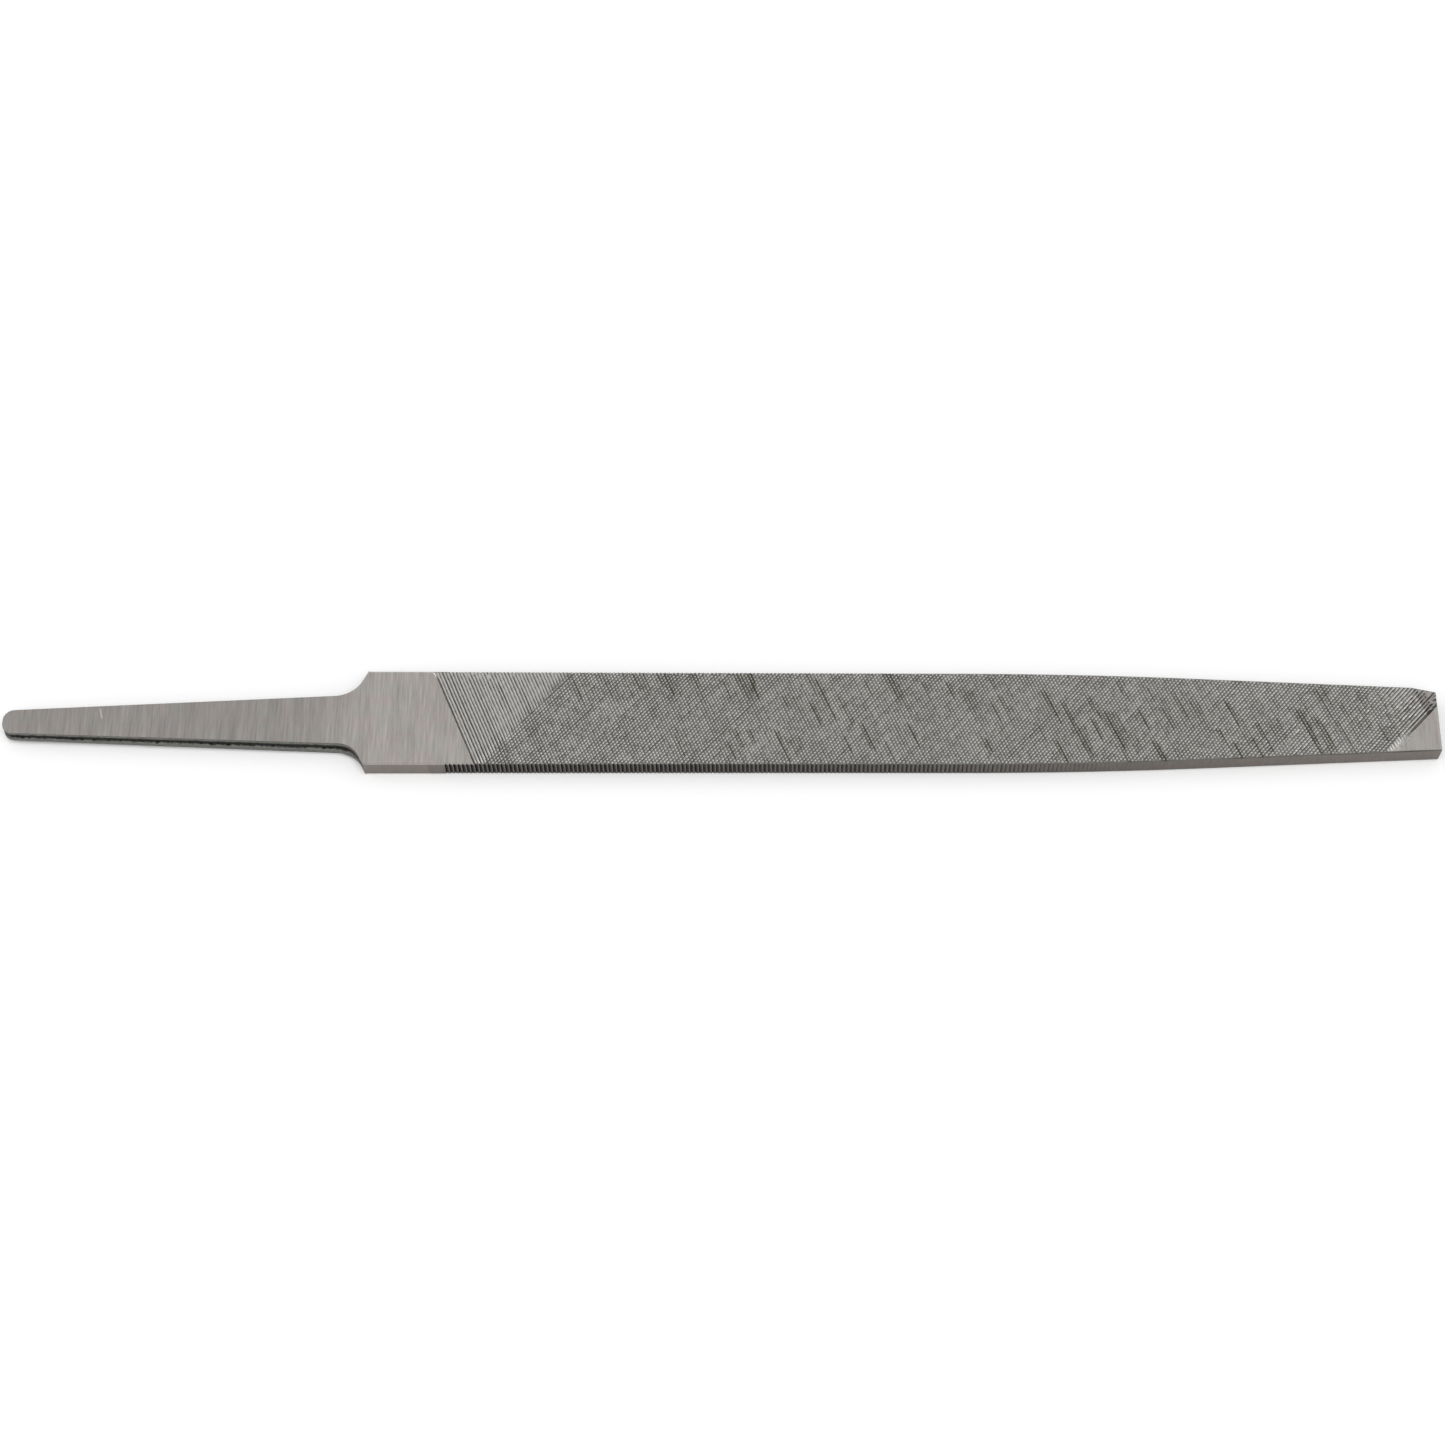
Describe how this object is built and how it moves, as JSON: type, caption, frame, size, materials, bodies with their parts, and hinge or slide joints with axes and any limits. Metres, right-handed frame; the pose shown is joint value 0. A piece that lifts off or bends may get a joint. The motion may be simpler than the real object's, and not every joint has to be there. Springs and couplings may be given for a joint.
{
  "type": "flat file",
  "caption": "Flat metalworking file with a tapered bare tang, a smooth heel, crossing cuts on both faces and a single cut on its edges, narrowing towards the point.",
  "frame": {"origin": "on the surface that the file lies on, under the middle of its overall length and width", "axes": "+X from the tang to the point, +Y across the width, +Z out of the upper face"},
  "size_m": [0.2684, 0.0196, 0.0042],
  "materials": {
    "ground_steel": "bare steel, ground across its width",
    "cut_steel": "bare hardened steel covered with fine teeth, darker in the gaps, a trace of oil"
  },
  "bodies": {
    "root": {"tang": "ground_steel", "heel": "ground_steel", "body": "cut_steel", "point": "cut_steel"}
  },
  "joints": []
}
